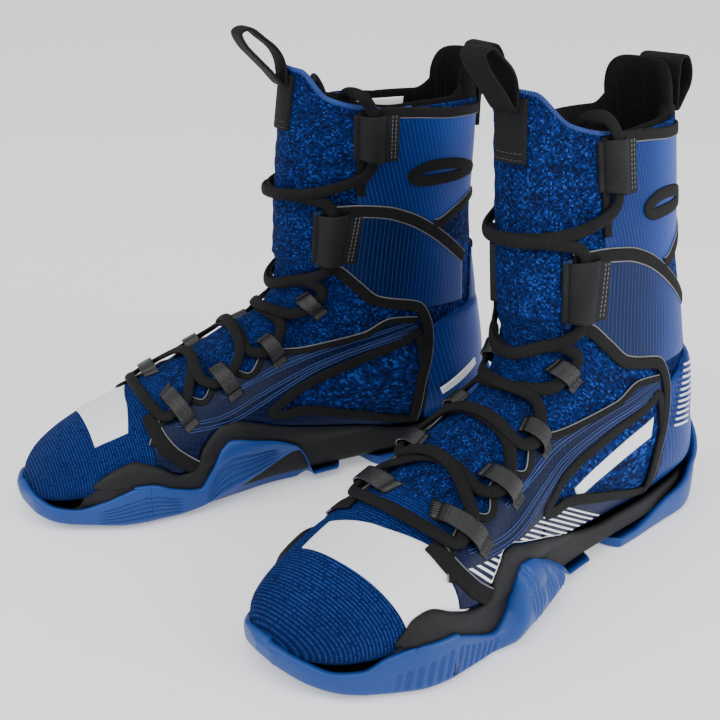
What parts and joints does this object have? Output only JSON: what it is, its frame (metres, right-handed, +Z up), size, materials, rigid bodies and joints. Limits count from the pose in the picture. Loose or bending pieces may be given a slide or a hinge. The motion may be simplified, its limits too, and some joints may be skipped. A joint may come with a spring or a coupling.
{
  "type": "boxing boots",
  "caption": "Pair of high-cut lace-up boxing boots: knit sock upper with film panels, lace sleeves and loops, padded heel tab, webbing pull loops and a sculpted rubber sole.",
  "frame": {"origin": "on the floor under the middle of the pair's bounding box", "axes": "+Z up; the toes point towards -Y; +X is to the wearer's left, where the left boot stands"},
  "size_m": [0.3, 0.3321, 0.2537],
  "materials": {
    "rubber": "satin moulded rubber",
    "foam": "matte foam",
    "knit": "heathered knit",
    "padding": "ribbed padded cloth",
    "bright_film": "coated ripstop",
    "dark_film": "coated ripstop",
    "lace": "woven lace",
    "webbing": "ribbed webbing",
    "sleeve_tape": "grosgrain tape"
  },
  "bodies": {
    "boot_left": {"left_ankle_wing_lateral": "bright_film", "left_ankle_wing_medial": "bright_film", "left_collar_lining": "padding", "left_cuff_panel_lateral": "bright_film", "left_cuff_panel_medial": "bright_film", "left_cuff_sleeve_lateral": "sleeve_tape", "left_cuff_sleeve_medial": "sleeve_tape", "left_heel_panel": "bright_film", "left_heel_tab": "padding", "left_insole": "foam", "left_knit_upper": "knit", "left_lace_loop_lateral_1": "sleeve_tape", "left_lace_loop_lateral_2": "sleeve_tape", "left_lace_loop_lateral_3": "sleeve_tape", "left_lace_loop_lateral_4": "sleeve_tape", "left_lace_loop_medial_1": "sleeve_tape", "left_lace_loop_medial_2": "sleeve_tape", "left_lace_loop_medial_3": "sleeve_tape", "left_lace_loop_medial_4": "sleeve_tape", "left_midsole": "foam", "left_outsole": "rubber", "left_quarter_overlay_lateral": "dark_film", "left_quarter_overlay_medial": "dark_film", "left_quarter_rand_lateral": "dark_film", "left_quarter_rand_medial": "dark_film", "left_shoelace": "lace", "left_wing_sleeve_lateral": "sleeve_tape", "left_wing_sleeve_medial": "sleeve_tape"},
    "left_front_loop": {"left_front_pull_loop": "webbing"},
    "left_heel_loop": {"left_heel_pull_loop": "webbing"},
    "boot_right": {"right_ankle_wing_lateral": "bright_film", "right_ankle_wing_medial": "bright_film", "right_collar_lining": "padding", "right_cuff_panel_lateral": "bright_film", "right_cuff_panel_medial": "bright_film", "right_cuff_sleeve_lateral": "sleeve_tape", "right_cuff_sleeve_medial": "sleeve_tape", "right_heel_panel": "bright_film", "right_heel_tab": "padding", "right_insole": "foam", "right_knit_upper": "knit", "right_lace_loop_lateral_1": "sleeve_tape", "right_lace_loop_lateral_2": "sleeve_tape", "right_lace_loop_lateral_3": "sleeve_tape", "right_lace_loop_lateral_4": "sleeve_tape", "right_lace_loop_medial_1": "sleeve_tape", "right_lace_loop_medial_2": "sleeve_tape", "right_lace_loop_medial_3": "sleeve_tape", "right_lace_loop_medial_4": "sleeve_tape", "right_midsole": "foam", "right_outsole": "rubber", "right_quarter_overlay_lateral": "dark_film", "right_quarter_overlay_medial": "dark_film", "right_quarter_rand_lateral": "dark_film", "right_quarter_rand_medial": "dark_film", "right_shoelace": "lace", "right_wing_sleeve_lateral": "sleeve_tape", "right_wing_sleeve_medial": "sleeve_tape"},
    "right_front_loop": {"right_front_pull_loop": "webbing"},
    "right_heel_loop": {"right_heel_pull_loop": "webbing"}
  },
  "joints": [
    {"name": "pair_separation", "type": "slide", "parent": "boot_left", "child": "boot_right", "axis": [-1, 0, 0], "range_m": [0, 0.3]},
    {"name": "left_front_loop_flop", "type": "hinge", "parent": "boot_left", "child": "left_front_loop", "pos_m": [0.05707, 0.03452, 0.224], "axis": [0.989, 0.1478, 0], "range_deg": [-5, 55], "stiffness_Nm_per_rad": 0.004},
    {"name": "left_heel_loop_flop", "type": "hinge", "parent": "boot_left", "child": "left_heel_loop", "pos_m": [0.0424, 0.15311, 0.212], "axis": [0.989, 0.1478, 0], "range_deg": [-60, 1], "stiffness_Nm_per_rad": 0.004},
    {"name": "right_front_loop_flop", "type": "hinge", "parent": "boot_right", "child": "right_front_loop", "pos_m": [-0.06748, -0.01249, 0.224], "axis": [0.989, -0.1478, 0], "range_deg": [-5, 55], "stiffness_Nm_per_rad": 0.004},
    {"name": "right_heel_loop_flop", "type": "hinge", "parent": "boot_right", "child": "right_heel_loop", "pos_m": [-0.05146, 0.10675, 0.212], "axis": [0.989, -0.1478, 0], "range_deg": [-60, 1], "stiffness_Nm_per_rad": 0.004}
  ]
}
